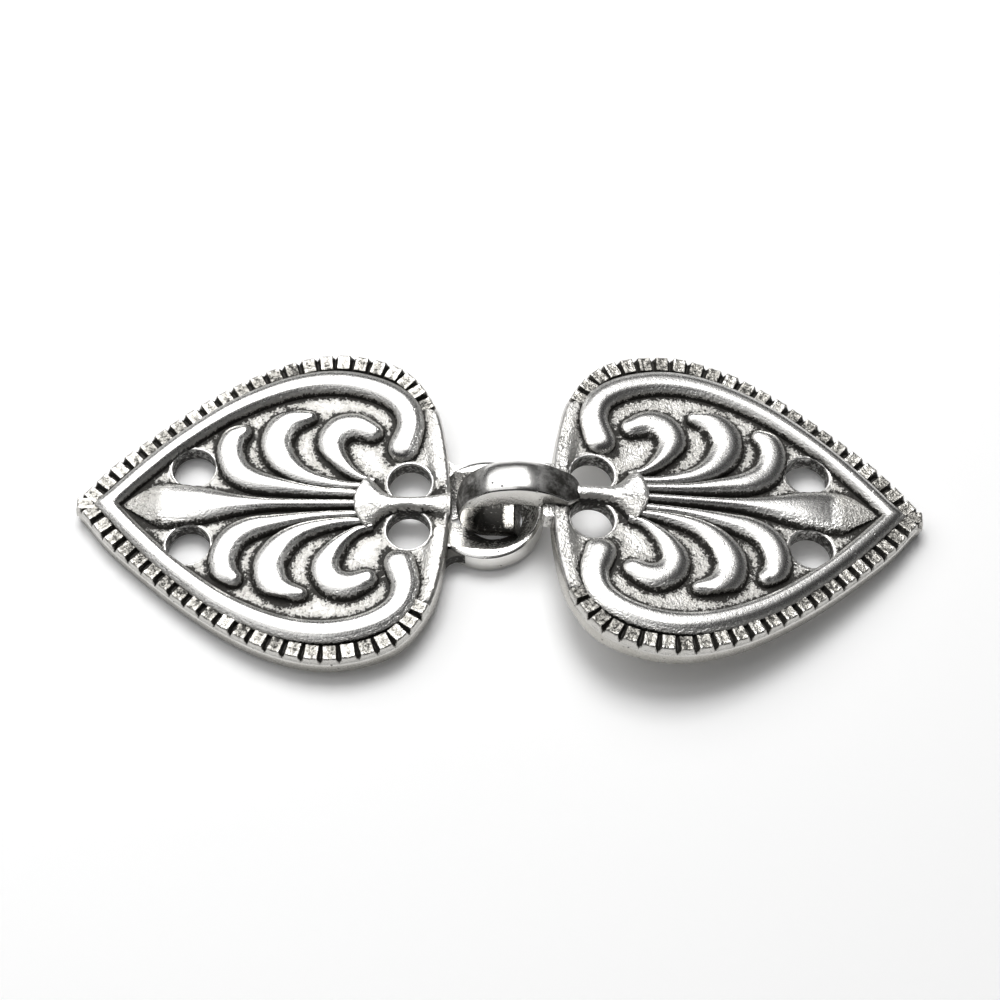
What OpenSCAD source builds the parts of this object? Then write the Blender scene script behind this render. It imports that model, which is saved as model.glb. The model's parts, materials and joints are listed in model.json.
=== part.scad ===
// Two-piece cardigan clip: two mirror-like heart plates with sewing holes, one with an eye and
// one with a flat hook. Millimetres. X runs along the clip, Z is up, the clip lies on z = 0.
// A plate's own frame: u runs from the base edge to the tip, v across, w up from the back.

/* [Heart plate] */
// Length of one plate, base edge to tip
heart_l = 28.6; // [27:0.1:31]
// Height of the smooth side wall
wall_h = 1.35; // [1.2:0.05:1.4]
// Height of the recessed ground
ground_h = 1.45; // [1.4:0.05:1.6]
// Height of the plain flange at the base
flange_h = 1.9; // [1.7:0.05:2]
// Radius of the rounded tip
tip_r = 0.9; // [0.6:0.1:1.2]

/* [Milled rim] */
// Height of the pads' tops
pad_h = 2.05; // [1.8:0.05:2.2]
// Width of the rim, measured inwards
rim_w = 1.3; // [1:0.05:1.4]
// How far the rim stands back from the wall
rim_inset = 0.12; // [0.05:0.01:0.2]
// Distance from one groove to the next
groove_pitch = 1.46; // [1.35:0.01:1.5]
// Width of a groove
groove_w = 0.42; // [0.3:0.02:0.6]
// Grooves on each side of the plate
groove_n = 24; // [20:1:24]

/* [Relief] */
// Height of the scroll rib's crest
rib_h = 2.35; // [2.1:0.05:2.5]
// Height of the petals' crests
petal_h = 2.3; // [2.1:0.05:2.5]
// Height of the trumpet's top
trumpet_h = 2.45; // [2.2:0.05:2.6]

/* [Sewing holes] */
// Radius of a sewing hole
hole_r = 1.65; // [1.4:0.05:1.7]
// Distance of the tip pair from the base edge
tip_hole_u = 19.85; // [19.5:0.05:20.2]
// Half the spacing of the tip pair
tip_hole_v = 3.35; // [3.2:0.05:3.6]
// Distance of the base pair from the base edge
base_hole_u = 3.25; // [3.1:0.05:3.5]
// Half the spacing of the base pair
base_hole_v = 2.05; // [1.9:0.05:2.2]

/* [Eye] */
// Outer radius of the eye
eye_r = 4.3; // [4.2:0.05:4.6]
// Distance of its centre in front of the base edge
eye_reach = 2.65; // [2.5:0.05:2.8]
// Thickness of the eye
eye_h = 1.85; // [1.6:0.05:2]
// How far the eye's underside lies below the plate's back
eye_drop = 0.88; // [0.8:0.01:1]
// Radius of the opening at the bottom, and half the width of the slot
eye_back_r = 1.85; // [1.7:0.05:2]
// Radius of the opening at the top
eye_top_r = 3.35; // [3:0.05:3.5]
// How far the slot runs on past the opening's centre
eye_slot = 1.6; // [1:0.1:1.8]
// How far the opening lies in front of the eye's centre
eye_shift = 0.3; // [0.2:0.05:0.4]
// Radius of the concave corner between the eye and the plate
root_r = 1.2; // [0.8:0.1:1.4]

/* [Hook] */
// Width of the strap
strap_w = 2.7; // [2.2:0.1:2.8]
// Width of the neck under the strap's root
neck_w = 4.9; // [4:0.1:5.2]
// How far the neck stands out of the base edge
neck_l = 0.6; // [0.4:0.1:0.6]

/* [Fastened pose] */
// Distance between the two base edges
base_gap = 7.2; // [7:0.1:8]
// Tilt of the eye's plate, tip down
eye_tilt = 1.9; // [1.7:0.1:2.1]
// Tilt of the hook's plate, tip down
hook_tilt = 5.9; // [5.7:0.1:6.1]
// Roll of the hook's plate, near side up
hook_roll = 4.3; // [4:0.1:4.6]
// Height of the hook plate's base above the table
hook_lift = 3.02; // [2.9:0.01:3.2]

/* [Hidden] */
$fn = 64;
silver = [0.72, 0.71, 0.69];
steps = 6;            // straight pieces between two rows of a table
sink = 0.6;           // how deep the relief is rooted in the plate
clear = 5;            // how far a cut runs past the faces
cap_steps = 6;        // straight pieces in half of a round end
root_edge_u = 0.6;    // where the concave corner meets the base edge
root_drop = 0.25;     // how far the concave corner stays under the eye's top
root_low = -0.3;      // its underside, measured from the plate's back
root_bite = 0.05;     // how far its arc runs into the eye and the plate
eye_edge = 0.45;      // size of the eye's rounded upper edge
eye_edge_mid = 0.14;  // how far that edge's middle stands back
tangent_step = 0.1;   // distance over which a groove's direction is measured
neck_rise = 0.35;     // how far the neck's underside lies above the back
tip_skip = 0.02;      // nearer to the middle line than this, a moved edge is cut off

// Columns: u, v. One side of the plate's edge, from the base's middle to the tip's rounding.
edge_rows = [[0, 0], [0.45, 4.9], [1.5, 8.95], [4.1, 12.15], [8.9, 13.43], [14, 12.28],
             [19.5, 9], [25.3, 4.1], [heart_l - 0.41 * tip_r, 0.81 * tip_r]];
// Columns: u, v, half width. The scroll rib, from the V at the tip to its curled end.
rib_rows = [[26.15, 0, 0.7], [23.5, 2.85, 0.74], [20.6, 5.6, 0.76], [16.8, 8.42, 0.84],
            [12.8, 10.25, 0.93], [9.3, 10.8, 1.0], [6.2, 10.2, 1.0], [4.1, 8.85, 1.03],
            [3.45, 7.05, 1.1], [3.95, 5.1, 1.2]];
// Columns: u, v, half width. The middle petal, then the three of one side.
middle_rows = [[6.2, 0, 0.35], [13.2, 0, 0.5], [16.1, 0, 0.9], [18, 0, 1.35], [19.8, 0, 1.8],
               [21.5, 0, 2.0], [22.9, 0, 1.72], [24.1, 0, 0.86], [24.95, 0, 0.15]];
first_rows = [[6.3, 0.85, 0.38], [10.2, 1.1, 0.5], [13.3, 1.62, 0.8], [15.2, 2.1, 1.05],
              [16.5, 3.0, 1.17], [17.1, 4.5, 1.2], [16.9, 5.8, 1.1], [16.2, 6.4, 0.75]];
second_rows = [[6.2, 1.5, 0.36], [8.4, 1.62, 0.5], [10.8, 2.2, 0.76], [12.3, 3.08, 1.04],
               [13.2, 4.2, 1.28], [13.6, 5.4, 1.36], [13.3, 6.6, 1.35], [12.5, 7.4, 1.1],
               [11.1, 7.7, 0.62]];
third_rows = [[5.9, 1.95, 0.3], [7.1, 2.35, 0.42], [8.2, 3.25, 0.68], [9.0, 4.3, 1.0],
              [9.35, 5.5, 1.25], [8.75, 6.65, 1.3], [7.5, 6.95, 1.2], [6.2, 6.4, 0.9]];
// Columns: u, half width. The trumpet-shaped calyx, from the base edge to its corners.
trumpet_rows = [[0.1, 1.35], [1.3, 0.8], [2.6, 0.56], [3.9, 0.58], [5.0, 1.1], [6.1, 2.45]];
trumpet_nose = 1.25;  // how far the trumpet's arc stands past its corners
// Columns: u, w. The strap hook's outline from the side: outer face, then inner face.
hook_outer = [[1.7, 1.9], [1.55, 2.4], [1.15, 2.8], [0.44, 3.25], [-0.46, 3.59], [-2.06, 3.74],
              [-3.51, 3.53], [-4.92, 2.97], [-6.14, 1.7], [-6.75, 0.45], [-6.89, -0.91],
              [-6.45, -2.14], [-5.58, -2.96], [-4.44, -3.33], [-1.9, -3.09]];
hook_inner = [[-2.15, -2.17], [-4.45, -2.39], [-5.13, -2.0], [-5.47, -1.1], [-5.25, -0.09],
              [-4.65, 0.76], [-3.28, 1.43], [-0.43, 1.4], [1.6, 1.28]];

// How far a tilted plate reaches out, and what centres the clip between its two tips.
function plate_reach(tilt) = heart_l * cos(tilt) + wall_h * sin(tilt);
middle_x = (plate_reach(hook_tilt) - plate_reach(eye_tilt)) / 2;
eye_lift = heart_l * sin(eye_tilt);

// A smooth curve through the rows of a table.
function blend(a, b, c, d, t) =
    0.5 * (2 * b + (c - a) * t + (2 * a - 5 * b + 4 * c - d) * t * t
           + (3 * b - a - 3 * c + d) * t * t * t);
function before(rows) = 2 * rows[0] - rows[1];
function after(rows) = 2 * rows[len(rows) - 1] - rows[len(rows) - 2];
function row(rows, i) = i < 0 ? before(rows) : i >= len(rows) ? after(rows) : rows[i];
function smooth(rows) = concat(
    [for (i = [0 : len(rows) - 2], j = [0 : steps - 1])
        blend(row(rows, i - 1), rows[i], rows[i + 1], row(rows, i + 2), j / steps)],
    [rows[len(rows) - 1]]);

// A side's points again on the other side, in the opposite order.
function reversed(points) = [for (i = [len(points) - 1 : -1 : 0]) points[i]];
function mirrored(points) = reversed([for (p = points) [p[0], -p[1]]]);

// Direction and left-hand normal of a list of points at point i.
function along(points, i) =
    let (a = points[max(i - 1, 0)], b = points[min(i + 1, len(points) - 1)],
         d = [b[0] - a[0], b[1] - a[1]]) d / norm(d);
function left_of(points, i) = let (d = along(points, i)) [-d[1], d[0]];

// One side of the plate's edge with the tip's arc, and the whole edge moved inwards by d.
// The left-hand normal points out of the plate.
edge_side = concat(smooth(edge_rows),
    [for (a = [40 : -10 : 0]) [heart_l - tip_r + tip_r * cos(a), tip_r * sin(a)]]);
function inset_side(d) = [for (i = [0 : len(edge_side) - 1])
    let (n = left_of(edge_side, i)) [edge_side[i][0] - n[0] * d, edge_side[i][1] - n[1] * d]];
function inset_edge(d) = let (
    side = [for (p = inset_side(d)) if (p[1] > tip_skip) p],
    a = side[len(side) - 2], b = side[len(side) - 1],
    tip_u = min(heart_l - d, b[0] + (b[0] - a[0]) * b[1] / (a[1] - b[1])))
    concat([[d, 0]], side, [[tip_u, 0]], mirrored(side));

// Distance along the edge, for the grooves.
function run(points, i) = i == 0 ? 0
    : run(points, i - 1) + norm(points[i] - points[i - 1]);
edge_run = [for (i = [0 : len(edge_side) - 1]) run(edge_side, i)];
edge_total = edge_run[len(edge_run) - 1];
function edge_at(s, k) =
    lookup(s, [for (i = [0 : len(edge_side) - 1]) [edge_run[i], edge_side[i][k]]]);

last_groove_u = edge_at(edge_total - (groove_n - 0.5) * groove_pitch, 0);

// A band that follows a table of u, v and half width, round at its last row.
function band_side(points, sign) = [for (i = [0 : len(points) - 1])
    let (n = left_of(points, i)) [points[i][0] + sign * n[0] * points[i][2],
                                  points[i][1] + sign * n[1] * points[i][2]]];
function band_cap(points) =
    let (last = len(points) - 1, d = along(points, last), n = left_of(points, last))
    [for (k = [1 : 2 * cap_steps - 1])
        let (a = 90 - 90 * k / cap_steps)
        [points[last][0] + points[last][2] * (n[0] * sin(a) + d[0] * cos(a)),
         points[last][1] + points[last][2] * (n[1] * sin(a) + d[1] * cos(a))]];
function band(rows) = let (points = smooth(rows))
    concat(band_side(points, 1), band_cap(points), reversed(band_side(points, -1)));

module both_sides() {
    children();
    mirror([0, 1, 0]) children();
}

module raised(top) {
    translate([0, 0, ground_h - sink]) linear_extrude(top - ground_h + sink) children();
}

module heart_plate() {
    linear_extrude(wall_h) polygon(inset_edge(0));
    translate([0, 0, wall_h - sink])
        linear_extrude(ground_h - wall_h + sink) polygon(inset_edge(rim_inset));
}

module groove_marks() {
    both_sides() for (i = [0 : groove_n - 1]) {
        s = edge_total - (i + 0.5) * groove_pitch;
        p = [edge_at(s, 0), edge_at(s, 1)];
        q = [edge_at(s + tangent_step, 0), edge_at(s + tangent_step, 1)];
        translate(p) rotate(atan2(q[1] - p[1], q[0] - p[0]))
            square([groove_w, 4 * rim_w], center = true);
    }
}

module milled_rim() {
    raised(pad_h) difference() {
        polygon(inset_edge(rim_inset));
        polygon(inset_edge(rim_w));
        groove_marks();
        translate([last_groove_u - heart_l, -heart_l / 2]) square(heart_l);
    }
}

module base_flange() {
    raised(flange_h) difference() {
        polygon(inset_edge(rim_inset));
        polygon(inset_edge(rim_w));
        translate([last_groove_u - groove_w, -heart_l / 2]) square(heart_l);
    }
}

module scroll_rib() {
    raised(rib_h) both_sides() polygon(band(rib_rows));
}

module palmette() {
    raised(petal_h) {
        polygon(band(middle_rows));
        both_sides() for (rows = [first_rows, second_rows, third_rows]) polygon(band(rows));
    }
}

module trumpet() {
    side = smooth(trumpet_rows);
    corner = trumpet_rows[len(trumpet_rows) - 1];
    arc_r = (corner[1] * corner[1] + trumpet_nose * trumpet_nose) / (2 * trumpet_nose);
    reach = asin(corner[1] / arc_r);
    nose = [for (k = [1 : 2 * cap_steps - 1]) let (a = reach - reach * k / cap_steps)
        [corner[0] + trumpet_nose - arc_r + arc_r * cos(a), arc_r * sin(a)]];
    raised(trumpet_h)
        polygon(concat(side, nose, mirrored(side)));
}

module sewing_holes() {
    both_sides() for (at = [[tip_hole_u, tip_hole_v], [base_hole_u, base_hole_v]])
        translate([at[0], at[1], -clear]) cylinder(r = hole_r, h = 2 * clear + rib_h);
}

module heart() {
    heart_plate();
    milled_rim();
    base_flange();
    scroll_rib();
    palmette();
    trumpet();
}

// A flat ring with a rounded upper edge. Its opening is a cone that widens upwards, runs
// straight back to the plate's base edge and ends in a slot with upright walls in front.
module eye() {
    slope = (eye_top_r - eye_back_r) / eye_h;
    low_r = eye_back_r - slope * root_bite;
    high_r = eye_top_r + slope * root_bite;
    slot_r = eye_back_r - root_bite;
    cut_h = eye_h + 2 * root_bite;
    translate([-eye_reach, 0, -eye_drop]) difference() {
        rotate_extrude() polygon([[0, 0], [eye_r, 0], [eye_r, eye_h - eye_edge],
            [eye_r - eye_edge_mid, eye_h - eye_edge_mid], [eye_r - eye_edge, eye_h], [0, eye_h]]);
        translate([-eye_shift, 0, -root_bite]) cylinder(r1 = low_r, r2 = high_r, h = cut_h);
        translate([-eye_shift, 0, -root_bite]) rotate([90, 0, 90])
            linear_extrude(eye_reach + eye_shift)
                polygon([[root_bite - low_r, 0], [low_r - root_bite, 0],
                         [high_r - root_bite, cut_h], [root_bite - high_r, cut_h]]);
        translate([-eye_shift - eye_slot, 0, -clear]) linear_extrude(2 * clear)
            polygon(concat([[eye_slot, slot_r]], [for (a = [90 : 15 : 270])
                [slot_r * cos(a), slot_r * sin(a)]], [[eye_slot, -slot_r]]));
    }
}

// The concave corner where the eye leaves the plate: an arc that bites a little into both.
module eye_roots() {
    c = [root_edge_u - root_r,
         sqrt(pow(eye_r + root_r, 2) - pow(eye_reach + root_edge_u - root_r, 2))];
    start = atan2(-c[1], -eye_reach - c[0]);
    arc = [for (k = [0 : cap_steps]) let (a = start + (360 - start) % 360 * k / cap_steps)
        [c[0] + (root_r + root_bite) * cos(a), c[1] + (root_r + root_bite) * sin(a)]];
    both_sides() translate([0, 0, root_low]) linear_extrude(eye_h - eye_drop - root_drop - root_low)
        polygon(concat(arc, [[root_edge_u + root_r, c[1]], [root_edge_u + root_r, eye_r - root_r],
                             [root_edge_u - root_r, eye_r - root_r]]));
}

module strap_hook() {
    translate([0, strap_w / 2, 0]) rotate([90, 0, 0]) linear_extrude(strap_w)
        polygon(concat(smooth(hook_outer), smooth(hook_inner)));
}

module hook_neck() {
    translate([-neck_l, -neck_w / 2, neck_rise])
        cube([2 * neck_l, neck_w, flange_h - neck_rise]);
}

module eye_half() {
    color(silver) translate([-base_gap / 2 - middle_x, 0, eye_lift]) mirror([1, 0, 0])
        rotate([0, eye_tilt, 0]) {
            difference() {
                heart();
                sewing_holes();
            }
            eye();
            eye_roots();
        }
}

module hook_half() {
    color(silver) translate([base_gap / 2 - middle_x, 0, hook_lift]) rotate([-hook_roll, 0, 0])
        rotate([0, hook_tilt, 0]) {
            difference() {
                heart();
                sewing_holes();
            }
            strap_hook();
            hook_neck();
        }
}

eye_half();
hook_half();
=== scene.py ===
import json
import math

import bmesh
import bpy
import numpy as np
from mathutils import Matrix, Vector, geometry

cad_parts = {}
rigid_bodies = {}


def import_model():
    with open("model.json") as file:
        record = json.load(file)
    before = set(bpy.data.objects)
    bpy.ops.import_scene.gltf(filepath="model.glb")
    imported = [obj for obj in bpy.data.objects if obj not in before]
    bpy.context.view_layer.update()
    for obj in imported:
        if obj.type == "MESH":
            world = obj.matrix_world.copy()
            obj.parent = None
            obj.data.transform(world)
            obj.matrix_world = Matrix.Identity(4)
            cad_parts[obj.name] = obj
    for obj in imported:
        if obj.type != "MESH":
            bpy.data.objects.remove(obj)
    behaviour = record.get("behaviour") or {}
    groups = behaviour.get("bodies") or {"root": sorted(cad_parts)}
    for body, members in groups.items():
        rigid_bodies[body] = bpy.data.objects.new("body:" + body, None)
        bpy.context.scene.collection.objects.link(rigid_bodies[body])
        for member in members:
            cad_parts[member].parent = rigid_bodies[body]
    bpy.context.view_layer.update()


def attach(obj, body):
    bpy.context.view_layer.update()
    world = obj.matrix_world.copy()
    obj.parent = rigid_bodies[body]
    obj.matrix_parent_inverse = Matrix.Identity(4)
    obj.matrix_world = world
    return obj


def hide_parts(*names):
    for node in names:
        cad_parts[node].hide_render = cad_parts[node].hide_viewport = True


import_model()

MM = 0.001
SCATTER = np.random.default_rng(11)

# Sizes in millimetres, in a plate's own frame: u from the base edge to the tip, v across,
# w up from the back. Most repeat the solid model's.
HEART_L = 28.6
WALL_H = 1.35
GROUND_H = 1.45
FLANGE_H = 1.9
FLANGE_END = 6
TIP_R = 0.9
PAD_H = 2.05
RIM_W = 1.42
RIM_FLOOR = 1.5
GROOVE_PITCH = 1.46
GROOVE_W = 0.5
GROOVES = 24
ROOT_H = 1.1
HOLE_R = 1.65
HOLES = [(19.85, 3.35), (19.85, -3.35), (3.25, 2.05), (3.25, -2.05)]
EYE_R = 4.3
EYE_REACH = 2.65
EYE_H = 1.85
EYE_DROP = 0.88
EYE_SLOT_L = 2.35
EYE_SLOT_W = 1.65
EYE_TOP_R = 3.35
EYE_SHIFT = 0.3
EYE_BURIED = 0.35
ROOT_R = 1.2
ROOT_END = 0.6
STRAP_W = 2.7
STRAP_BEVEL = 0.13
STRAP_CROWN = 0.24
STRAP_FLAT = 0.85
NECK_W = 4.9
NECK_L = 0.6
NECK_RISE = 0.35
NECK_CHAMFER = 0.2

# How the two halves lie when fastened.
BASE_GAP = 7.2
EYE_TILT = math.radians(1.9)
HOOK_TILT = math.radians(5.9)
HOOK_ROLL = math.radians(-4.3)
HOOK_LIFT = 3.02

# How finely the surfaces are divided, and how far across the ground's grid reaches.
GROUND_STEP = 0.21
GROUND_SPAN = 14
PETAL_STEP = 0.14
HOLE_SIDES = 40
STRAP_ROWS = 84

# Columns: u, v. One side of the plate's edge.
EDGE = [[0, 0], [0.45, 4.9], [1.5, 8.95], [4.1, 12.15], [8.9, 13.43], [14, 12.28],
        [19.5, 9], [25.3, 4.1], [HEART_L - 0.41 * TIP_R, 0.81 * TIP_R]]
# Columns: inset, height, 1 where that counts from the top, then polish, soot and grey.
# The plate's wall, from its back up and over to the ground. The wall's grey is painted shade,
# standing for the shadowed floor that the wall mirrors.
WALL = np.array([[0.14, 0.0, 0, 0.9, 0, 1.2], [0.04, 0.05, 0, 0.95, 0, 1.2],
                 [0, 0.16, 0, 1, 0.1, 1.0], [0, -0.3, 1, 1, 0.1, 0.9],
                 [0.03, -0.14, 1, 1, 0.1, 0.4], [0.1, -0.05, 1, 0.9, 0, 0],
                 [0.2, 0.0, 1, 0.7, 0.1, 0], [0.32, 0.03, 1, 0.4, 0.25, 0]])
# The same columns for a sewing hole, from the ground over its lip and down to the back.
# Its dark inside is partly oxide and partly painted shade.
HOLE_WALL = np.array([[0.2, 0.0, 1, 0.3, 0, 0], [0.13, 0.03, 1, 0.8, 0, 0],
                      [0.06, 0.02, 1, 0.9, 0, 0], [0, -0.05, 1, 0.7, 0.4, 0],
                      [0, -0.3, 1, 0.65, 0.6, 0], [0, 0.15, 0, 0.65, 0.6, 0],
                      [0.1, 0.0, 0, 0.6, 0.4, 0]])
# Columns: u, v, half width, crest height. The scroll rib from the V at the tip to its curl.
RIB = [[26.15, 0, 0.7, 2.25], [23.5, 2.85, 0.74, 2.32], [20.6, 5.6, 0.76, 2.35],
       [16.8, 8.42, 0.84, 2.35], [12.8, 10.25, 0.93, 2.35], [9.3, 10.8, 1.0, 2.35],
       [6.2, 10.2, 1.0, 2.35], [4.1, 8.85, 1.03, 2.35], [3.45, 7.05, 1.1, 2.35],
       [3.95, 5.1, 1.2, 2.3]]
# Columns: across in half widths, rise. The rib's outer flank, down to where the pads begin.
RIB_FLANK = [[0.25, 0.996], [0.46, 0.975], [0.65, 0.925], [0.82, 0.845], [0.97, 0.75],
             [1.09, 0.66], [1.14, 0.56], [1.15, 0.0]]
# The middle petal and the three of one side, with the rib's columns.
MIDDLE = [[6.2, 0, 0.38, 2.15], [13.2, 0, 0.5, 2.2], [16.1, 0, 0.9, 2.25], [18, 0, 1.35, 2.3],
          [19.8, 0, 1.8, 2.3], [21.5, 0, 2.0, 2.2], [22.9, 0, 1.72, 2.0], [24.1, 0, 0.86, 1.8],
          [24.95, 0, 0.15, 1.6]]
FIRST = [[6.3, 0.85, 0.4, 2.1], [10.2, 1.1, 0.5, 2.15], [13.3, 1.62, 0.8, 2.25],
         [15.2, 2.1, 1.05, 2.3], [16.5, 3.0, 1.17, 2.3], [17.1, 4.5, 1.2, 2.3],
         [16.9, 5.8, 1.1, 2.3], [16.2, 6.4, 0.75, 2.2]]
SECOND = [[6.2, 1.5, 0.38, 2.1], [8.4, 1.62, 0.5, 2.15], [10.8, 2.2, 0.76, 2.25],
          [12.3, 3.08, 1.04, 2.3], [13.2, 4.2, 1.28, 2.3], [13.6, 5.4, 1.36, 2.3],
          [13.3, 6.6, 1.35, 2.3], [12.5, 7.4, 1.1, 2.3], [11.1, 7.7, 0.62, 2.2]]
THIRD = [[5.9, 1.95, 0.32, 2.1], [7.1, 2.35, 0.42, 2.15], [8.2, 3.25, 0.68, 2.25],
         [9.0, 4.3, 1.0, 2.3], [9.35, 5.5, 1.25, 2.3], [8.75, 6.65, 1.3, 2.3],
         [7.5, 6.95, 1.2, 2.3], [6.2, 6.4, 0.9, 2.25]]
# The petals' domes reach below the ground, so they start this much wider than they show.
PETAL_FULLNESS = 1.08
# Columns: u, half width, crest height, squareness. The calyx, from the base edge to its bell.
CALYX = [[0.1, 1.4, 2.15, 3.0], [1.3, 0.9, 2.3, 3.0], [2.6, 0.66, 2.38, 3.0],
         [3.9, 0.66, 2.4, 3.0], [5.0, 1.15, 2.42, 3.0], [6.1, 2.45, 2.45, 9.0]]
CALYX_NOSE = 1.25
# Columns: u, w. The hook's strap from the side: its outer face, then its inner face.
STRAP_OUTER = [[2.4, 1.8], [2.1, 2.3], [1.4, 2.6], [0.44, 3.1], [-0.46, 3.48], [-2.06, 3.7],
               [-3.51, 3.5], [-4.92, 2.95], [-6.14, 1.7], [-6.75, 0.45], [-6.85, -0.91],
               [-6.43, -2.12], [-5.58, -2.93], [-4.44, -3.27], [-1.7, -3.03]]
STRAP_INNER = [[2.0, 1.28], [-0.43, 1.4], [-3.28, 1.43], [-4.65, 0.76], [-5.25, -0.09],
               [-5.47, -1.1], [-5.13, -1.95], [-4.45, -2.3], [-2.35, -2.12]]


# Curves through short tables

def smooth(rows, steps):
    """A smooth curve through a table's rows, in some steps from each row to the next."""
    rows = np.array(rows, float)
    rows = np.vstack([2 * rows[0] - rows[1], rows, 2 * rows[-1] - rows[-2]])
    curve = []
    for a, b, c, d in zip(rows, rows[1:], rows[2:], rows[3:]):
        for t in np.arange(steps) / steps:
            curve.append(0.5 * (2 * b + (c - a) * t + (2 * a - 5 * b + 4 * c - d) * t * t
                                + (3 * b - a - 3 * c + d) * t ** 3))
    return np.vstack([curve, rows[-2]])


def lengths(points):
    """The distance along a list of points, up to each of them."""
    steps = np.linalg.norm(np.diff(points[:, :2], axis=0), axis=1)
    return np.concatenate([[0], np.cumsum(steps)])


def resample(points, count):
    """The same curve in evenly spaced points."""
    run = lengths(points)
    at = np.linspace(0, run[-1], count)
    return np.column_stack([np.interp(at, run, column) for column in points.T])


def left_of(points, closed=False):
    """Left-hand unit normals of a list of points."""
    if closed:
        d = np.roll(points[:, :2], -1, axis=0) - np.roll(points[:, :2], 1, axis=0)
    else:
        d = np.gradient(points[:, :2], axis=0)
    d = d / np.linalg.norm(d, axis=1, keepdims=True)
    return np.column_stack([-d[:, 1], d[:, 0]])


def end_direction(points):
    """The direction in which a list of points ends."""
    d = points[-1, :2] - points[-2, :2]
    return d / np.linalg.norm(d)


def mirrored(points):
    """A side's points again on the other side, in the opposite order."""
    other = points[::-1].copy()
    other[:, 1] *= -1
    return other


def blend(x, low, high):
    """0 below low, 1 above high and smooth between."""
    t = np.clip((np.asarray(x, float) - low) / (high - low), 0, 1)
    return t * t * (3 - 2 * t)


# The plate's edge, from the middle of the base round the far side and back.
edge_side = np.vstack([smooth(EDGE, 10), [
    (HEART_L - TIP_R + TIP_R * math.cos(a), TIP_R * math.sin(a))
    for a in np.radians(np.arange(48, -1, -6))]])
edge_loop = np.vstack([edge_side, mirrored(edge_side)[1:-1]])
edge_out = left_of(edge_loop, closed=True)
edge_run = lengths(edge_side)
last_groove = edge_run[-1] - (GROOVES - 0.5) * GROOVE_PITCH
last_groove_v = np.interp(last_groove, edge_run, edge_side[:, 1])


def edge_inset(depth):
    """The plate's outline, drawn in."""
    return edge_loop - edge_out * depth


def base_distance(u, v):
    """How far a point lies inside the base edge."""
    widest = np.argmax(edge_side[:, 1])
    return u - np.interp(np.abs(v), edge_side[:widest, 1], edge_side[:widest, 0])


def base_share(v):
    """1 along the plain flange, 0 where the rim is milled."""
    return 1 - blend(np.abs(v), last_groove_v - 0.1, last_groove_v + 0.35)


# Places of the two halves

def tilted(p, tilt):
    """Turns a plate tip down about its base edge."""
    u, v, w = p.T
    c, s = math.cos(tilt), math.sin(tilt)
    return u * c + w * s, v, w * c - u * s


def on_eye_half(p):
    """From the plate's frame to the eye half's place, base edge towards +X, tip down."""
    x, y, z = tilted(p, EYE_TILT)
    return np.column_stack([-BASE_GAP / 2 - MIDDLE_X - x, y, z + HEART_L * math.sin(EYE_TILT)])


def on_hook_half(p):
    """From the plate's frame to the hook half's place, base edge lifted, near side up."""
    x, y, z = tilted(p, HOOK_TILT)
    c, s = math.cos(HOOK_ROLL), math.sin(HOOK_ROLL)
    return np.column_stack([BASE_GAP / 2 - MIDDLE_X + x, y * c - z * s, y * s + z * c + HOOK_LIFT])


def plate_reach(tilt):
    """How far a tilted plate reaches out from its base edge."""
    return HEART_L * math.cos(tilt) + WALL_H * math.sin(tilt)


MIDDLE_X = (plate_reach(HOOK_TILT) - plate_reach(EYE_TILT)) / 2
HALVES = {"eye": on_eye_half, "hook": on_hook_half}


# Meshes

def new_object(name, data):
    """An object in the scene."""
    thing = bpy.data.objects.new(name, data)
    bpy.context.scene.collection.objects.link(thing)
    return thing


def add_piece(name, half, points, faces, finish, wear_and_painted_shade, sharp=35):
    """Places a mesh on a half and makes it a piece of the clip. Its marks are polish, soot and
    grey, one row for each point or one for all; soot and grey also carry painted shade."""
    placed = HALVES[half](np.asarray(points)) * MM
    mesh = bpy.data.meshes.new(name)
    mesh.from_pydata(placed.tolist(), [], [list(f) for f in faces])
    columns = np.broadcast_to(wear_and_painted_shade, (len(points), 3)).T.astype(np.float32, order="C")
    for title, values in zip(("polish", "soot_and_painted_shade", "greying_and_painted_shade"), columns):
        layer = mesh.attributes.new(title, "FLOAT", "POINT")
        layer.data.foreach_set("value", values)
    work = bmesh.new()
    work.from_mesh(mesh)
    bmesh.ops.remove_doubles(work, verts=work.verts, dist=1e-7)
    bmesh.ops.recalc_face_normals(work, faces=work.faces)
    work.to_mesh(mesh)
    work.free()
    mesh.polygons.foreach_set("use_smooth", [True] * len(mesh.polygons))
    mesh.set_sharp_from_angle(angle=math.radians(sharp))
    mesh.materials.append(finish)
    piece = new_object(name, mesh)
    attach(piece, "root")
    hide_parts(half + "_half")


def skin(rings, caps=True):
    """Faces between closed rings of points, and over both ends."""
    rings = np.asarray(rings, float)
    count, size = rings.shape[:2]
    points = rings.reshape(-1, 3)
    faces = []
    for i in range(count - 1):
        for j in range(size):
            k = (j + 1) % size
            faces.append((i * size + j, i * size + k, (i + 1) * size + k, (i + 1) * size + j))
    if caps:
        faces.append(tuple(range(size)))
        faces.append(tuple(range((count - 1) * size, count * size)))
    return points, faces


def joined(parts):
    """Several meshes as one, and where the points of each begin."""
    starts = np.cumsum([0] + [len(points) for points, _ in parts])[:-1].tolist()
    faces = [tuple(start + i for i in face)
             for start, (_, own) in zip(starts, parts) for face in own]
    return np.vstack([points for points, _ in parts]), faces, starts


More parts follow.
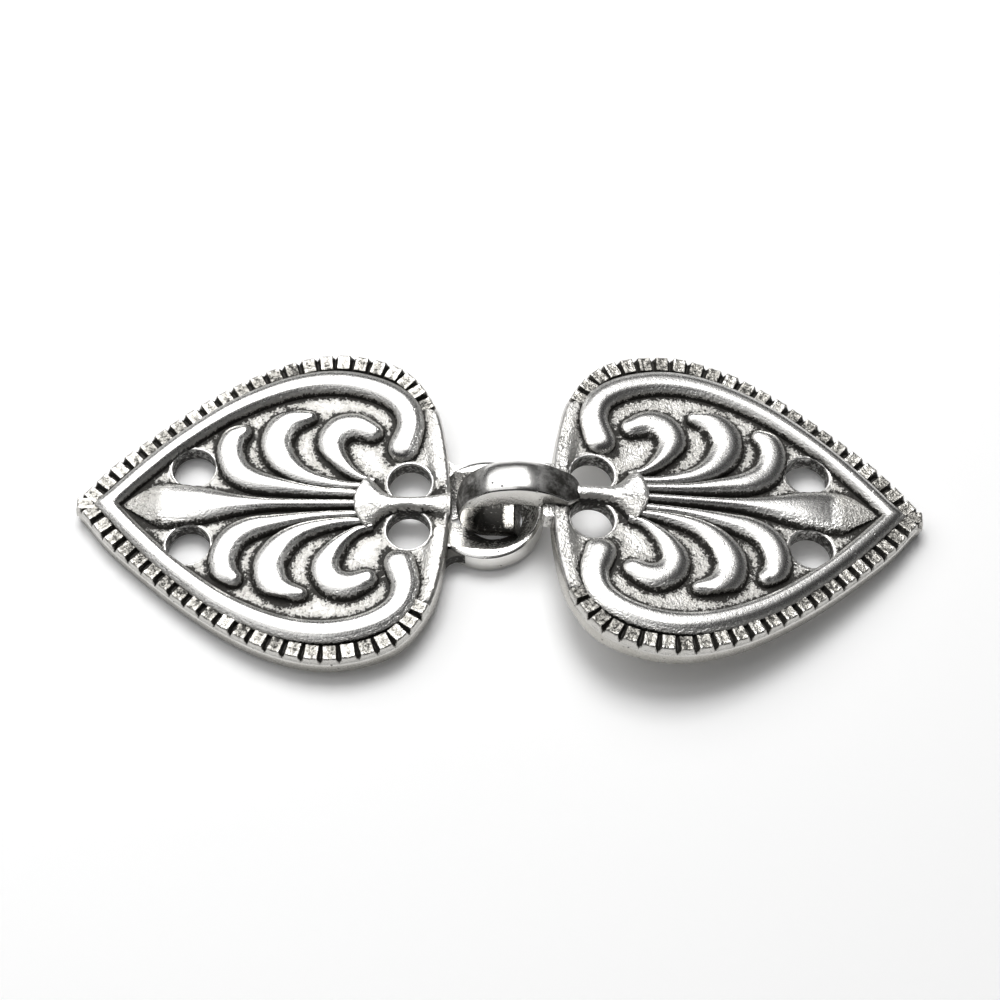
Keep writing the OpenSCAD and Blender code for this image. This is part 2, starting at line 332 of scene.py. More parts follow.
def inside(points, loop):
    """Which points lie inside a closed loop."""
    x, y = points[:, 0, None], points[:, 1, None]
    a, b = loop[None, :, :2], np.roll(loop, -1, axis=0)[None, :, :2]
    spans = (a[..., 1] > y) != (b[..., 1] > y)
    rise = np.where(b[..., 1] == a[..., 1], 1, b[..., 1] - a[..., 1])
    cross = a[..., 0] + (y - a[..., 1]) * (b[..., 0] - a[..., 0]) / rise
    return (spans & (x < cross)).sum(axis=1) % 2 == 1


def fill(loops, extra):
    """Triangles inside the first loop and outside the others, through some extra points."""
    points = np.vstack(loops + ([extra] if len(extra) else []))
    edges, start = [], 0
    for loop in loops:
        size = len(loop)
        edges += [(start + i, start + (i + 1) % size) for i in range(size)]
        start += size
    flat = [Vector(p) for p in points[:, :2].tolist()]
    found = geometry.delaunay_2d_cdt(flat, edges, [], 1, 1e-7)
    at = np.array([tuple(p) for p in found[0]])
    origin = np.array([o[0] for o in found[3]])
    triangles = np.array(found[2])
    middle = at[triangles].mean(axis=1)
    keep = np.ones(len(triangles), bool)
    for loop in loops[1:]:
        keep &= ~inside(middle, loop)
    return origin[triangles[keep]]


def clear_of_holes(points, radius=HOLE_R + 0.05):
    """Moves what reaches into a sewing hole back to its lip."""
    for u, v in HOLES:
        out = points[:, :2] - (u, v)
        far = np.linalg.norm(out, axis=1)
        near = far < radius
        points[near, :2] = (u, v) + out[near] / far[near, None] * radius
    return points


# The plate

def relief_gap(spots):
    """How far each spot of the ground lies from the foot of the nearest relief."""
    nearest = np.full(len(spots), np.inf)
    for line in relief_lines():
        a, b = line[:-1], line[1:]
        d = b[:, :2] - a[:, :2]
        share = ((spots[:, None, :2] - a[None, :, :2]) * d).sum(axis=2) / (d ** 2).sum(axis=1)
        share = np.clip(share, 0, 1)
        foot = a[None, :, :2] + share[..., None] * d
        width = a[:, 2] + share * (b[:, 2] - a[:, 2])
        far = np.linalg.norm(spots[:, None, :2] - foot, axis=2) - width
        nearest = np.minimum(nearest, far.min(axis=1))
    return nearest


def ground_height(u, v):
    """The recessed ground, which climbs to the flange along the base edge."""
    flange = (1 - blend(base_distance(u, v), 0.9, 2.1)) * base_share(v)
    return GROUND_H + (FLANGE_H - GROUND_H) * flange


def ground_spots():
    """Scattered points of the ground, a little uneven, and which of them lie under the pads.
    They stay clear of the points of the wall and of the holes' lips."""
    spots = np.array([(u, v) for u in np.arange(0, HEART_L, GROUND_STEP)
                      for v in np.arange(-GROUND_SPAN, GROUND_SPAN, GROUND_STEP)])
    spots += SCATTER.uniform(-0.03, 0.03, spots.shape)
    keep = inside(spots, edge_inset(0.44))
    for u, v in HOLES:
        keep &= np.hypot(spots[:, 0] - u, spots[:, 1] - v) > HOLE_R + 0.32
    spots = spots[keep]
    height = ground_height(*spots.T) + SCATTER.uniform(-0.012, 0.012, len(spots))
    milled = ~inside(spots, edge_inset(RIM_W + 0.1))
    milled &= (base_share(spots[:, 1]) < 0.5) | (spots[:, 0] > FLANGE_END)
    height[milled] = RIM_FLOOR
    return np.column_stack([spots, height]), milled


def plate():
    """The heart plate: rounded wall, ground and lipped sewing holes, in one closed skin."""
    size = len(edge_loop)
    flat = base_share(edge_loop[:, 1]) * (edge_loop[:, 0] < FLANGE_END)
    top = WALL_H + (FLANGE_H - WALL_H) * flat
    rings = [np.column_stack([edge_inset(inset), height + from_top * top])
             for inset, height, from_top in WALL[:, :3]]
    angles = np.linspace(0, 2 * math.pi, HOLE_SIDES, endpoint=False)
    circle = np.column_stack([np.cos(angles), np.sin(angles)])
    linings = []
    for u, v in HOLES:
        level = float(ground_height(u, v))
        linings.append([np.column_stack([circle * (HOLE_R + out) + (u, v),
                                         np.full(HOLE_SIDES, height + from_ground * level)])
                        for out, height, from_ground in HOLE_WALL[:, :3]])
    points, faces, starts = joined([skin(part, caps=False) for part in [rings] + linings])
    extra, milled = ground_spots()

    # The ground between the wall and the holes' lips, then the plain back.
    lips = [start + np.arange(HOLE_SIDES) for start in starts[1:]]
    down = (len(HOLE_WALL) - 1) * HOLE_SIDES
    index = np.concatenate([(len(WALL) - 1) * size + np.arange(size)] + lips
                           + [len(points) + np.arange(len(extra))])
    faces += [tuple(index[t]) for t in fill([rings[-1]] + [wall[0] for wall in linings], extra)]
    index = np.concatenate([np.arange(size)] + [lip + down for lip in lips])
    faces += [tuple(index[t]) for t in fill([rings[0]] + [wall[-1] for wall in linings], [])]

    # Sooty under the pads and at the foot of the relief, cleaner further out.
    gap = relief_gap(extra)
    ground_wear = np.column_stack([np.where(milled, 0.1, 0.1 + 0.35 * blend(gap, 0.3, 1.2)),
                                   np.where(milled, 0.75, 0.8 * (1 - blend(gap, 0.0, 0.52))),
                                   np.zeros(len(gap))])
    wear_and_painted_shade = np.vstack([np.repeat(WALL[:, 3:], size, axis=0)]
                     + [np.repeat(HOLE_WALL[:, 3:], HOLE_SIDES, axis=0)] * len(HOLES)
                     + [ground_wear])
    return np.vstack([points, extra]), faces, wear_and_painted_shade


# Node trees

class Level:
    """What a socket gives, worked with as in plain arithmetic."""

    def __init__(self, sheet, socket):
        self.sheet, self.socket = sheet, socket

    def work(self, how, a, b, clamp=False):
        return self.sheet.add("ShaderNodeMath", {"operation": how, "use_clamp": clamp},
                              {0: a, 1: b})

    def __add__(self, other):
        return self.work("ADD", self, other)

    def __sub__(self, other):
        return self.work("SUBTRACT", self, other)

    def __rsub__(self, other):
        return self.work("SUBTRACT", other, self)

    def __mul__(self, other):
        return self.work("MULTIPLY", self, other)

    __radd__, __rmul__ = __add__, __mul__

    def larger(self, other):
        return self.work("MAXIMUM", self, other)

    def clamp(self):
        return self.work("ADD", self, 0.0, True)

    def ramp(self, low, high):
        """0 below low, 1 above high and smooth between; the other way round if low > high."""
        return self.sheet.add("ShaderNodeMapRange", {"interpolation_type": "SMOOTHSTEP"},
                              {"Value": self, "From Min": low, "From Max": high})

    def beside(self, title):
        """Another output of the same node."""
        return Level(self.sheet, self.socket.node.outputs[title])


class Sheet:
    """A node tree built in a few lines."""

    def __init__(self, tree):
        self.tree = tree
        tree.nodes.clear()

    def add(self, kind, settings={}, inputs={}, out=0):
        """Adds a node: its type, its settings, then the values or links of its sockets."""
        node = self.tree.nodes.new(kind)
        for key, value in settings.items():
            setattr(node, key, value)
        for key, value in inputs.items():
            if isinstance(value, Level):
                self.tree.links.new(value.socket, node.inputs[key])
            else:
                node.inputs[key].default_value = value
        return Level(self, node.outputs[out]) if node.outputs else None

    def mix(self, factor, a, b):
        """One colour into another."""
        return self.add("ShaderNodeMix", {"data_type": "RGBA"}, {0: factor, 6: a, 7: b}, 2)

    def noise(self, place, scale, detail, rough=0.5):
        """Cloudy noise around 0.5, its scale counted per millimetre."""
        return self.add("ShaderNodeTexNoise", {}, {"Vector": place, "Scale": scale,
                                                   "Detail": detail, "Roughness": rough})

    def attribute(self, name):
        """A value that the mesh holds at its points."""
        return self.add("ShaderNodeAttribute", {"attribute_name": name}, {}, "Fac")


class ShapeTree(Sheet):
    """A Geometry Nodes tree with named inputs."""

    def __init__(self, name, **inputs):
        super().__init__(bpy.data.node_groups.new(name, "GeometryNodeTree"))
        sockets = self.tree.interface
        self.ids = {title: sockets.new_socket(title, in_out="INPUT",
                                              socket_type="NodeSocket" + kind).identifier
                    for title, kind in inputs.items()}
        sockets.new_socket("Result", in_out="OUTPUT", socket_type="NodeSocketGeometry")
        self.entry = self.tree.nodes.new("NodeGroupInput")

    def given(self, title):
        """One of the tree's inputs."""
        return Level(self, self.entry.outputs[title])

    def named(self, title):
        """An attribute of the mesh."""
        return self.add("GeometryNodeInputNamedAttribute", {"data_type": "FLOAT"}, {"Name": title})

    def close(self, solid):
        """Ends the tree: real faces with their finish."""
        real = self.add("GeometryNodeRealizeInstances", {}, {"Geometry": solid})
        made = self.add("GeometryNodeSetMaterial", {}, {"Geometry": real,
                                                        "Material": self.given("Finish")})
        self.add("NodeGroupOutput", {}, {"Result": made})

    def run(self, path, **values):
        """Runs the tree on a path and gives the result's points, faces and rise."""
        holder = new_object("path", path)
        modifier = holder.modifiers.new("tree", "NODES")
        modifier.node_group = self.tree
        for title, value in values.items():
            modifier[self.ids[title]] = value
        ready = holder.evaluated_get(bpy.context.evaluated_depsgraph_get())
        mesh = bpy.data.meshes.new_from_object(ready)
        points = np.empty(len(mesh.vertices) * 3, np.float32)
        mesh.vertices.foreach_get("co", points)
        faces = [tuple(p.vertices) for p in mesh.polygons]
        rise = np.zeros(len(mesh.vertices), np.float32)
        if "rise" in mesh.attributes:
            mesh.attributes["rise"].data.foreach_get("value", rise)
        bpy.data.objects.remove(holder)
        return points.reshape(-1, 3).astype(float), faces, rise


def ridge_tree():
    """Sweeps a closed profile along a path. The path's points hold a half width and a crest
    height, the profile's a rise from 0 at its foot to 1 at its crest."""
    t = ShapeTree("ridge", Path="Geometry", Profile="Object", RootHeight="Float",
                  Finish="Material")
    path = t.add("GeometryNodeMeshToCurve", {}, {"Mesh": t.given("Path")})
    path = t.add("GeometryNodeSetCurveNormal", {"mode": "Z_UP"}, {"Curve": path})
    shape = t.add("GeometryNodeObjectInfo", {}, {"Object": t.given("Profile")}, "Geometry")
    shape = t.add("GeometryNodeMeshToCurve", {}, {"Mesh": shape})
    solid = t.add("GeometryNodeCurveToMesh", {}, {"Curve": path, "Profile Curve": shape,
                                                  "Scale": t.named("half_width"),
                                                  "Fill Caps": True})
    place = t.add("GeometryNodeInputPosition")
    x = t.add("ShaderNodeSeparateXYZ", {}, {"Vector": place}, "X")
    root = t.given("RootHeight")
    height = root + t.named("rise") * (t.named("crest") - root)
    raised = t.add("ShaderNodeCombineXYZ", {}, {"X": x, "Y": x.beside("Y"), "Z": height})
    t.close(t.add("GeometryNodeSetPosition", {}, {"Geometry": solid, "Position": raised}))
    return t


def pads_tree():
    """Sets one pad after another along the edge, counted both ways from the tip."""
    t = ShapeTree("pads", Path="Geometry", Pad="Object", Pitch="Float", PadsPerSide="Int",
                  Unevenness="Float", Seed="Int", Finish="Material")
    path = t.add("GeometryNodeMeshToCurve", {}, {"Mesh": t.given("Path")})
    whole = t.add("GeometryNodeCurveLength", {}, {"Curve": path})
    side = t.given("PadsPerSide") - 1.0
    spots = t.add("GeometryNodeMeshLine", {}, {"Count": side * 2.0 + 1.0})
    index = t.add("GeometryNodeInputIndex")
    at = whole * 0.5 + (index - side) * t.given("Pitch")
    place = t.add("GeometryNodeSampleCurve", {"mode": "LENGTH"}, {"Curves": path, "Length": at},
                  "Position")
    spots = t.add("GeometryNodeSetPosition", {}, {"Geometry": spots, "Position": place})
    turn = t.add("FunctionNodeAlignRotationToVector", {"axis": "X", "pivot_axis": "Z"},
                 {"Vector": place.beside("Tangent")})
    low, high = 1.0 - t.given("Unevenness"), 1.0 + t.given("Unevenness")
    scale = t.add("FunctionNodeRandomValue", {"data_type": "FLOAT_VECTOR"},
                  {"Min": t.add("ShaderNodeCombineXYZ", {}, {0: low, 1: 1.0, 2: low}),
                   "Max": t.add("ShaderNodeCombineXYZ", {}, {0: high, 1: 1.0, 2: 1.0}),
                   "Seed": t.given("Seed")})
    pad = t.add("GeometryNodeObjectInfo", {}, {"Object": t.given("Pad")}, "Geometry")
    t.close(t.add("GeometryNodeInstanceOnPoints", {}, {"Points": spots, "Instance": pad,
                                                       "Rotation": turn, "Scale": scale}))
    return t


HELPERS = []


def helper_object(name, mesh):
    """An object that a tree reads; it is taken away when the pieces are made."""
    HELPERS.append(new_object(name, mesh))
    return HELPERS[-1]


def line_mesh(name, line, closed=False, **columns):
    """A mesh of one polyline, with some of its columns as named values of its points."""
    edges = [(i, i + 1) for i in range(len(line) - 1)]
    if closed:
        edges.append((len(line) - 1, 0))
    mesh = bpy.data.meshes.new(name)
    mesh.from_pydata([(p[0], p[1], 0) for p in line], edges, [])
    for title, column in columns.items():
        layer = mesh.attributes.new(title, "FLOAT", "POINT")
        layer.data.foreach_set("value", line[:, column].copy())
    return mesh


# Relief: the scroll rib and the petals

def dome(t, squareness=2.8, fullness=0.6):
    """A rounded cross-section: 1 in the middle, 0 at both edges."""
    return np.clip(1 - np.abs(t) ** squareness, 0, 1) ** fullness


def rounded_end(rows):
    """Ends a band in a half round as wide as its last row."""
    run = lengths(rows)
    body = rows[run < run[-1] - 0.01]
    d = end_direction(rows)
    cap = []
    for a in np.radians([0, 18, 36, 52, 66, 77, 85]):
        row, narrow = rows[-1].copy(), max(math.cos(a), 0.02)
        row[:2] += d * rows[-1, 2] * math.sin(a)
        row[2] *= narrow
        row[3] = ROOT_H + (row[3] - ROOT_H) * narrow ** 0.6
        cap.append(row)
    return np.vstack([body, cap])


def rib_line():
    """The rib's middle line from one curl through the V at the tip to the other curl. The
    points next to the V are left out, to keep the two bands' inner corner clean."""
    side = rounded_end(smooth(RIB, 8))
    run = lengths(side)
    side = side[(run == 0) | (run > 0.8)]
    whole = np.vstack([mirrored(side)[:-1], side])
    whole[len(side) - 1, 2] *= math.sqrt(2)
    return whole


def petal_lines():
    """The petals' middle lines."""
    lines = [smooth(MIDDLE, 8)]
    for rows in (FIRST, SECOND, THIRD):
        side = smooth(rows, 8)
        lines += [side, side * (1, -1, 1, 1)]
    return lines


def relief_lines():
    """All that stands on the ground, as middle lines with half widths."""
    horn = smooth(CALYX, 6)
    horn = np.column_stack([horn[:, 0], horn[:, 0] * 0, horn[:, 1]])
    return petal_lines() + [rib_line(), horn]


def scroll_rib(tree, finish):
    """The rib that follows the rim, with a rounded crest and a long flank towards the pads."""
    t = -np.cos(np.linspace(0, math.pi / 2, 11))
    section = np.vstack([np.column_stack([t, dome(t)]), RIB_FLANK])
    section = np.column_stack([section[:, 0], np.zeros(len(section)), section[:, 1]])
    profile = helper_object("rib_profile", line_mesh("profile", section, closed=True, rise=2))
    path = line_mesh("rib", rib_line(), half_width=2, crest=3)
    points, faces, rise = tree.run(path, Profile=profile, RootHeight=ROOT_H, Finish=finish)
    return clear_of_holes(points), faces, rise


def outline(line):
    """The edge round the discs along a middle line, in order."""
    n = left_of(line)
    turn = np.linspace(math.pi / 2, -math.pi / 2, 15)[1:-1]
    cap = line[-1, :2] + line[-1, 2] * (np.outer(np.sin(turn), n[-1])
                                        + np.outer(np.cos(turn), end_direction(line)))
    loop = np.vstack([line[:, :2] + n * line[:, 2:3], cap,
                      (line[:, :2] - n * line[:, 2:3])[::-1]])
    far = np.linalg.norm(loop[:, None] - line[None, :, :2], axis=2) - line[None, :, 2]
    return loop[far.min(axis=1) > -0.012]


def petal(line):
    """One petal: a dome over the discs along its middle line, closed below."""
    line = resample(line, int(lengths(line)[-1] / 0.09))
    line[:, 2] *= PETAL_FULLNESS
    loop = outline(line)
    loop = resample(np.vstack([loop, loop[:1]]), int(lengths(loop)[-1] / 0.16))[:-1]
    low, high = loop.min(axis=0) + PETAL_STEP / 2, loop.max(axis=0)
    spots = np.array([(u, v) for u in np.arange(low[0], high[0], PETAL_STEP)
                      for v in np.arange(low[1], high[1], PETAL_STEP)])
    away = left_of(loop, closed=True)
    inner = np.vstack([loop - away * 0.04, loop - away * 0.11, spots])
    share = np.linalg.norm(inner[:, None] - line[None, :, :2], axis=2) / line[None, :, 2]
    height = dome(np.minimum(share.min(axis=1), 1))
    crest = line[share.argmin(axis=1), 3]
    keep = inside(inner, loop) & (height > 0.2)
    keep[2 * len(loop):] &= height[2 * len(loop):] > 0.55
    inner, height, crest = inner[keep], height[keep], crest[keep]
    extra = np.column_stack([inner, ROOT_H + (crest - ROOT_H) * height])
    foot = np.column_stack([loop, np.full(len(loop), ROOT_H)])
    points = np.vstack([foot, extra])
    faces = [tuple(t) for t in fill([foot], extra)]
    below = [tuple(t[::-1]) for t in fill([foot], [])]
    return points, faces + below, np.concatenate([np.zeros(len(foot)), height])


def petals():
    """The palmette's seven petals as one mesh."""
    made = [petal(line) for line in petal_lines()]
    points, faces, _ = joined([(points, faces) for points, faces, _ in made])
    return clear_of_holes(points), faces, np.concatenate([rise for _, _, rise in made])


def relief_wear_and_shade(title, points, rise):
    """Polished crests and sooty feet. The middle petal's point is duller than the rest, and
    the calyx's near side is made duller as painted shade."""
    polish = 0.1 + 0.85 * blend(rise, 0.55, 0.95)
    clean = blend(rise, 0.35, 0.75)
    if title == "petals":
        polish *= 1 - 0.85 * blend(points[:, 0], 21.2, 22.6)
        clean = blend(rise, 0.5, 0.9)
    elif title == "calyx":
        # Painted shade: the calyx's near side is duller.
        polish *= 0.85 - 0.5 * blend(-points[:, 1], 0.15, 0.5)
    return np.column_stack([polish, 0.85 * (1 - clean), np.zeros(len(points))])


# The rim

def pad_mesh():
    """One pad of the rim, x along the edge and y out of it: pillow top, outer end rounded off."""
    half = (GROOVE_PITCH - GROOVE_W) / 2
    outer, inner = -0.06, -RIM_W
    deep = PAD_H - RIM_FLOOR
    flank = [(0, 0.12), (0.14, 0.1), (0.26, 0.04), (half - 0.1, 0.0), (half - 0.02, 0.05),
             (half + 0.03, 0.18), (half + 0.07, 0.36), (GROOVE_PITCH / 2 - 0.02, deep + 0.04)]
    flank = [(-x, fall) for x, fall in flank[:0:-1]] + flank
    length = [(inner - 0.03, deep + 0.1), (inner, 0.3), (inner + 0.1, 0.12), (inner + 0.25, 0.08),
              (inner + 0.55, 0.1), (outer - 0.5, 0.1), (outer - 0.36, 0.06), (outer - 0.24, 0.0),
              (outer - 0.14, 0.03), (outer - 0.06, 0.12), (outer - 0.01, 0.3), (outer, deep)]
    points = [(x, y, PAD_H - max(end_fall, side_fall) - 0.3 * min(end_fall, side_fall))
              for y, end_fall in length for x, side_fall in flank]
    nx, ny = len(flank), len(length)
    faces = [(a, a + 1, a + nx + 1, a + nx)
             for j in range(ny - 1) for a in range(j * nx, j * nx + nx - 1)]
    border = (list(range(nx)) + [j * nx + nx - 1 for j in range(1, ny)]
              + [(ny - 1) * nx + i for i in range(nx - 2, -1, -1)]
              + [j * nx for j in range(ny - 2, 0, -1)])
    start = len(points)
    points += [(points[i][0], points[i][1], ROOT_H) for i in border]
    for k in range(len(border)):
        n = (k + 1) % len(border)
        faces.append((border[n], border[k], start + k, start + n))
    faces.append(tuple(range(start, start + len(border)))[::-1])
    mesh = bpy.data.meshes.new("pad")
    mesh.from_pydata(points, [], faces)
    return mesh


def rim_pads(tree, finish, seed):
    """All pads of one half, and their wear: bright tops and outer ends, sooty grooves."""
    path = line_mesh("edge", np.vstack([edge_side, mirrored(edge_side)[1:]]))
    points, faces, _ = tree.run(path, Pad=helper_object("pad", pad_mesh()), Pitch=GROOVE_PITCH,
                                PadsPerSide=GROOVES, Unevenness=0.05, Seed=seed, Finish=finish)
    up = blend(points[:, 2], 1.83, 2.03)
    up[~inside(points, edge_inset(0.16))] = 0.9
    return points, faces, np.column_stack([0.45 + 0.4 * up, 0.42 * (1 - up),
                                           0.45 + 0.3 * (1 - up)])


# Pieces made ring by ring

def calyx():
    """The horn between the petals and the base edge, from its foot to its arched bell."""
    t = -np.cos(np.linspace(0, math.pi, 21))
    rings = []
    rows = smooth(CALYX, 6)
    # The bell's end turns over in two short rows and then drops.
    rows = np.vstack([rows, rows[-1] + (0.07, 0.02, -0.05, 0), rows[-1] + (0.1, 0.03, -0.2, 0),
                      rows[-1] + (0.1, 0.03, -0.9, 0)])
    for u, half, crest, square in rows:
        nose = CALYX_NOSE * (1 - t ** 2) * blend(u, 4.4, 6.4)
        top = np.column_stack([u + nose, half * t,
                               ROOT_H + (crest - ROOT_H) * dome(t, square, 0.65)])
        foot = top[::-1].copy()
        foot[:, 2] = ROOT_H - 0.05
        rings.append(np.vstack([top, foot]))
    points, faces = skin(rings)
    rise = (points[:, 2] - ROOT_H) / (CALYX[-1][2] - ROOT_H)
    return clear_of_holes(points, HOLE_R - 0.22), faces, rise


def eye_opening(long, wide, base_wide):
    """The eye's opening at one height: half an oval, then on to the base edge."""
    centre = -EYE_REACH - EYE_SHIFT
    arc = np.linspace(math.pi / 2, 1.5 * math.pi, 65)
    arc = np.column_stack([centre + long * np.cos(arc), wide * np.sin(arc)])
    run = np.linspace(0, 1, 17)[:-1]
    ahead = np.column_stack([EYE_BURIED + (centre - EYE_BURIED) * run,
                             base_wide + (wide - base_wide) * blend(run, 0, 1)])
    return np.vstack([ahead, arc, mirrored(ahead)])


def eye_ring():
    """The eye: smooth outer wall, flat top and a rough slope down to the opening."""
    back = eye_opening(EYE_SLOT_L, EYE_SLOT_W, 0.05)
    top = eye_opening(EYE_TOP_R + 0.25, EYE_TOP_R, 3.1)
    count = len(back)
    start = math.acos((EYE_REACH + EYE_BURIED) / EYE_R)
    phi = np.linspace(start, 2 * math.pi - start, count)
    outer = np.column_stack([-EYE_REACH + EYE_R * np.cos(phi), EYE_R * np.sin(phi)])
    out = (outer - (-EYE_REACH, 0)) / EYE_R
    away = (top - back) / np.linalg.norm(top - back, axis=1, keepdims=True)
    flat = np.minimum(0.42, np.linalg.norm(outer - top, axis=1) * 0.5)[:, None]
    # Columns: line, height, polish, soot, grey. From the back's opening up the slope, over
    # the top and down the outer wall. The grey on the outer wall is painted shade.
    sections = [(back + away * 0.08, 0.0, 0.3, 0.5, 0), (back, 0.1, 0.2, 0.6, 0),
                (back * 0.8 + top * 0.2, 0.22, 0.2, 0.7, 0),
                (back * 0.5 + top * 0.5, 0.6, 0.2, 0.5, 0),
                (back * 0.2 + top * 0.8, 1.25, 0.2, 0.35, 0),
                (top, EYE_H - 0.16, 0.2, 0.2, 0), (top + away * 0.12, EYE_H - 0.03, 0.7, 0, 0),
                (outer - out * flat, EYE_H, 1, 0, 0), (outer - out * 0.2, EYE_H - 0.03, 1, 0, 0),
                (outer - out * 0.06, EYE_H - 0.12, 1, 0, 0), (outer, EYE_H - 0.3, 1, 0, 0.35),
                (outer, 0.12, 1, 0, 0.5), (outer - out * 0.1, 0.0, 1, 0, 0.5)]
    rings = np.stack([np.column_stack([line, np.full(count, height - EYE_DROP)])
                      for line, height, *_ in sections], axis=1)
    points, faces = skin(rings)
    wear_and_painted_shade = np.tile([section[2:] for section in sections], (count, 1))
    near_plate = blend(points[:, 0], -1.3, -0.5)
    wear_and_painted_shade[:, 0] += (0.8 - wear_and_painted_shade[:, 0]) * near_plate
    wear_and_painted_shade[:, 1] *= 1 - near_plate
    return points, faces, wear_and_painted_shade


def eye_roots():
    """The concave corners between the eye and the plate."""
    bodies = []
    cu = ROOT_END - ROOT_R
    cv = math.sqrt((EYE_R + ROOT_R) ** 2 - (EYE_REACH + cu) ** 2)
    arc = np.linspace(math.atan2(-cv, -EYE_REACH - cu), 0, 13)
    for side in (1, -1):
        line = np.column_stack([cu + ROOT_R * np.cos(arc), cv + ROOT_R * np.sin(arc)])
        # The last three points lie hidden in the plate and in the ring.
        line = np.vstack([line, [1.4, cv], [1.4, EYE_R - 0.98], [-0.5, EYE_R - 0.95]])
        line[:, 1] *= side
        bodies.append(skin([np.column_stack([line, np.full(len(line), w)])
                            for w in (-0.3, EYE_H - EYE_DROP - 0.2)]))
    return bodies


def strap_edge(outer, inner, half, side, soot_and_painted_shade):
    """The two rounded corners of one long edge of the strap, from its outer face to its inner
    face: place, v, polish, soot and grey of each point. The grey on the sides is painted shade."""
    through = (outer - inner) / np.linalg.norm(outer - inner)
    corners = []
    for degrees in (30, 60, 90):
        s, c = math.sin(math.radians(degrees)), math.cos(math.radians(degrees))
        corners.append((outer - through * (STRAP_CROWN + STRAP_BEVEL * (1 - c)),
                        side * (half - STRAP_BEVEL * (1 - s)), 1, 0, 0.5 * (degrees == 90)))
    for degrees in (0, 30, 60, 90):
        s, c = math.sin(math.radians(degrees)), math.cos(math.radians(degrees))
        corners.append((inner + through * STRAP_BEVEL * (1 - s),
                        side * (half - STRAP_BEVEL * (1 - c)), 0.6, soot_and_painted_shade, 0.5))
    return corners


def hook_strap():
    """The flat strap that leaves the base, bends down through the eye and turns back under it."""
    outer, inner = (resample(smooth(rows, 8), STRAP_ROWS) for rows in (STRAP_OUTER, STRAP_INNER))
    rings, wear_and_painted_shade = [], []
    for k, (o, i) in enumerate(zip(outer, inner)):
        through = (o - i) / np.linalg.norm(o - i)
        half = STRAP_W / 2 * math.sqrt(1 - 0.8 * blend(o[0], 1.2, 2.5) ** 1.5)
        under = k > STRAP_ROWS / 2
        # Painted shade on the crown where it bends down, for the dark that it mirrors there,
        # and bare metal at the tip below the eye.
        bend_shade = 0.62 * (blend(-o[0], 4.2, 5.8) + blend(o[0], -2.3, -0.2))
        worn = blend(i[0], -3.25, -2.95) * under
        across = {share: (half - STRAP_BEVEL) * share / STRAP_FLAT
                  for share in (-STRAP_FLAT, -0.5, 0, 0.5, STRAP_FLAT)}
        ring = [(o - through * STRAP_CROWN * (v / half) ** 2, v, 1, bend_shade, 0)
                for v in across.values()]
        ring += strap_edge(o, i, half, 1, 0.2 + 0.5 * under)
        ring += [(i, across[share], 0.6 + 0.3 * worn, 0.85 * (1 - worn), 0.9)
                 for share in (0.5, 0, -0.5)]
        ring += strap_edge(o, i, half, -1, 0.2 + 0.5 * under)[::-1]
        rings.append([(place[0], v, place[1]) for place, v, *_ in ring])
        wear_and_painted_shade += [point[2:] for point in ring]
    points, faces = skin(rings)
    return points, faces, np.array(wear_and_painted_shade)


def hook_neck():
    """The short plate under the strap's root."""
    rows = [(0.1, NECK_RISE), (0, NECK_RISE + 0.1), (0, FLANGE_H - 0.15), (0.05, FLANGE_H - 0.04),
            (0.15, FLANGE_H)]
    rings = []
    for inset, w in rows:
        a, b = NECK_L - inset, NECK_W / 2 - inset
        ring = []
        for su, sv in ((-1, -1), (1, -1), (1, 1), (-1, 1)):
            corner = [(su * a, sv * (b - NECK_CHAMFER), w), (su * (a - NECK_CHAMFER), sv * b, w)]
            ring += corner if su * sv > 0 else corner[::-1]
        rings.append(ring)
    return skin(rings)


# Finishes

# The dull grey below also stands for painted shade on walls, and the black for painted shade at
# the strap's bends and the near eye root, besides real oxide.
SILVER = (0.86, 0.85, 0.83, 1)
DULL = (0.46, 0.445, 0.41, 1)
OXIDE_AND_SHADE = (0.03, 0.028, 0.024, 1)
# How far a hollow's dark reaches and how high the grain stands, in metres.
CAVITY_REACH = 0.0007
GRAIN_HEIGHT = 0.00009


def new_material(name):
    """An empty material and the sheet that its nodes go on."""
    material = bpy.data.materials.new(name)
    material.use_nodes = True
    return material, Sheet(material.node_tree)


